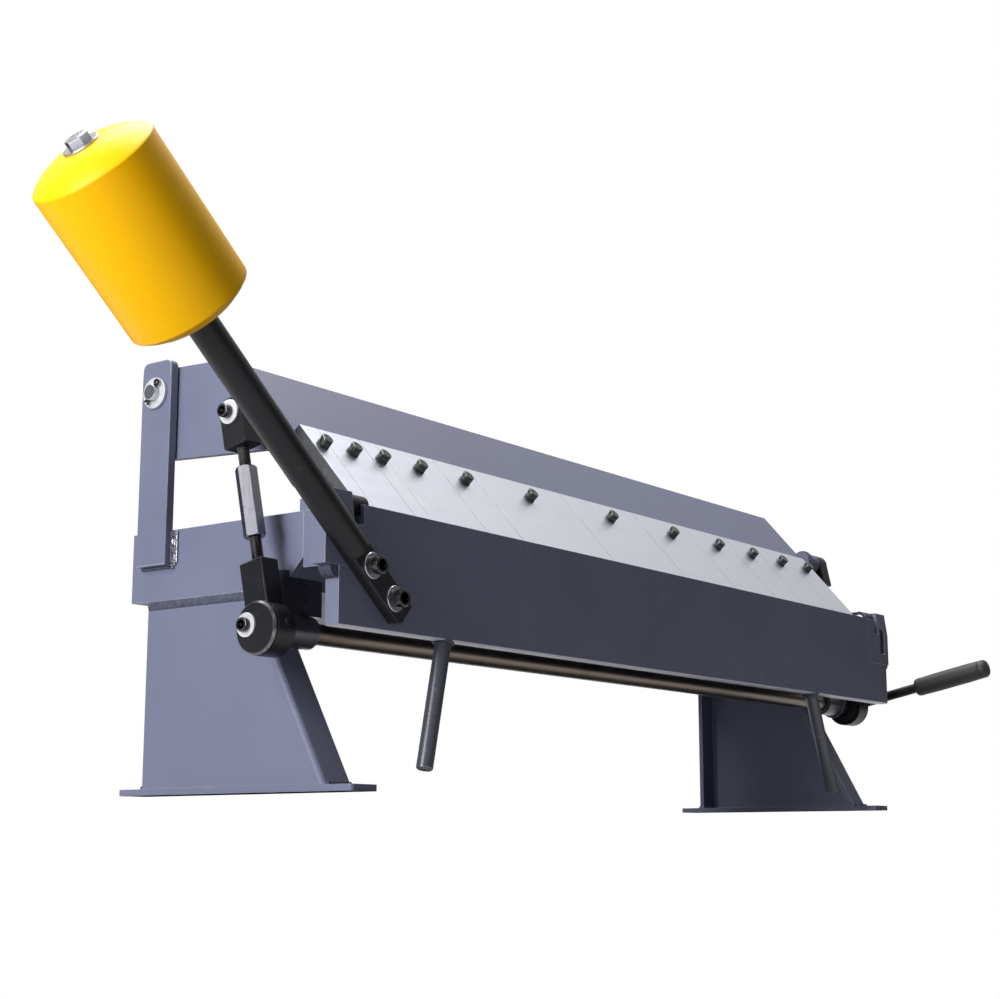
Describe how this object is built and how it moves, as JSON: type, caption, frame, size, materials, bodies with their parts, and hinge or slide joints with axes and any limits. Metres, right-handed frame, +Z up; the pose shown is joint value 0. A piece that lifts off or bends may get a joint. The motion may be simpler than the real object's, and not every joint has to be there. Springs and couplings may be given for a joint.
{
  "type": "box and pan brake",
  "caption": "Long bench folding brake: slanted clamping beam with separate bright fingers, swinging apron with a slanted counterweight, eccentric clamp with turnbuckle links.",
  "frame": {"origin": "centre of the four foot bolt holes, on the underside of the feet", "axes": "+X along the bed to the end with the clamp lever, -Y to the operator's side with the apron, +Z up"},
  "size_m": [1.5131, 0.4253, 0.5175],
  "materials": {
    "frame_paint": "textured dark blue-grey paint",
    "dark_steel": "black oxide, satin",
    "ground_steel": "ground bright steel",
    "bright_steel": "zinc plated",
    "bare_steel": "bare drawn bar, oiled",
    "yellow_paint": "smooth yellow paint",
    "black_grip": "matt moulded grip"
  },
  "bodies": {
    "frame": {"leg_left": "frame_paint", "leg_right": "frame_paint", "foot_plate_left": "frame_paint", "foot_plate_right": "frame_paint", "bed_end_plate_left": "frame_paint", "bed_end_plate_right": "frame_paint", "bed_top_plate": "frame_paint", "bed_back_plate": "frame_paint", "bed_lower_plate": "frame_paint", "anvil_bar": "frame_paint", "frame_hinge_left": "frame_paint", "frame_hinge_right": "frame_paint", "hinge_pins": "bright_steel", "upright_left": "frame_paint", "upright_right": "frame_paint", "shaft_bearing_left": "frame_paint", "shaft_bearing_right": "frame_paint"},
    "beam": {"beam_face_plate": "frame_paint", "beam_shell": "frame_paint", "beam_end_plate_left": "frame_paint", "beam_end_plate_right": "frame_paint", "finger_01": "ground_steel", "finger_02": "ground_steel", "finger_03": "ground_steel", "finger_04": "ground_steel", "finger_05": "ground_steel", "finger_06": "ground_steel", "finger_07": "ground_steel", "finger_08": "ground_steel", "finger_09": "ground_steel", "finger_10": "ground_steel", "finger_11": "ground_steel", "finger_12": "ground_steel", "finger_screws": "dark_steel", "pivot_pins": "bright_steel", "pivot_washers": "bright_steel", "cotter_pins": "dark_steel", "link_bolts": "dark_steel"},
    "apron": {"apron_plate": "frame_paint", "apron_hinge_left": "frame_paint", "apron_hinge_right": "frame_paint", "handle_left": "dark_steel", "handle_right": "dark_steel", "counterweight_arm": "dark_steel", "arm_screws": "dark_steel", "counterweight": "yellow_paint", "weight_bolt": "bright_steel"},
    "clamp_shaft": {"clamp_shaft": "bare_steel", "eccentric_left": "dark_steel", "eccentric_right": "dark_steel", "shaft_end_bolts": "dark_steel", "clamp_lever": "dark_steel", "lever_grip": "black_grip"},
    "link_left": {"link_upper_left": "dark_steel", "link_lower_left": "dark_steel"},
    "link_right": {"link_upper_right": "dark_steel", "link_lower_right": "dark_steel"},
    "turnbuckle_left": {"turnbuckle_left": "bright_steel"},
    "turnbuckle_right": {"turnbuckle_right": "bright_steel"}
  },
  "joints": [
    {"name": "apron_swing", "type": "hinge", "parent": "frame", "child": "apron", "pos_m": [0, -0.131, 0.256], "axis": [-1, 0, 0], "range_deg": [0, 100]},
    {"name": "clamp_shaft_turn", "type": "hinge", "parent": "frame", "child": "clamp_shaft", "pos_m": [0, -0.069, 0.145], "axis": [-1, 0, 0], "range_deg": [0, 70]},
    {"name": "beam_lift", "type": "hinge", "parent": "frame", "child": "beam", "pos_m": [0, 0.105, 0.391], "axis": [-1, 0, 0], "range_deg": [0, 5.2]},
    {"name": "link_left_swing", "type": "hinge", "parent": "beam", "child": "link_left", "pos_m": [-0.575, -0.035, 0.345], "axis": [-1, 0, 0], "range_deg": [-6.9, 0]},
    {"name": "link_right_swing", "type": "hinge", "parent": "beam", "child": "link_right", "pos_m": [0.575, -0.035, 0.345], "axis": [-1, 0, 0], "range_deg": [-6.9, 0]},
    {"name": "turnbuckle_left_spin", "type": "hinge", "parent": "link_left", "child": "turnbuckle_left", "pos_m": [-0.575, -0.0786, 0.142], "axis": [0, 0.21, 0.9777], "continuous": true},
    {"name": "turnbuckle_right_spin", "type": "hinge", "parent": "link_right", "child": "turnbuckle_right", "pos_m": [0.575, -0.0786, 0.142], "axis": [0, 0.21, 0.9777], "continuous": true}
  ],
  "couplings": [
    {"joint": "beam_lift", "follows": "clamp_shaft_turn", "ratio": 0.0726},
    {"joint": "link_left_swing", "follows": "clamp_shaft_turn", "ratio": -0.0965},
    {"joint": "link_right_swing", "follows": "clamp_shaft_turn", "ratio": -0.0965}
  ]
}
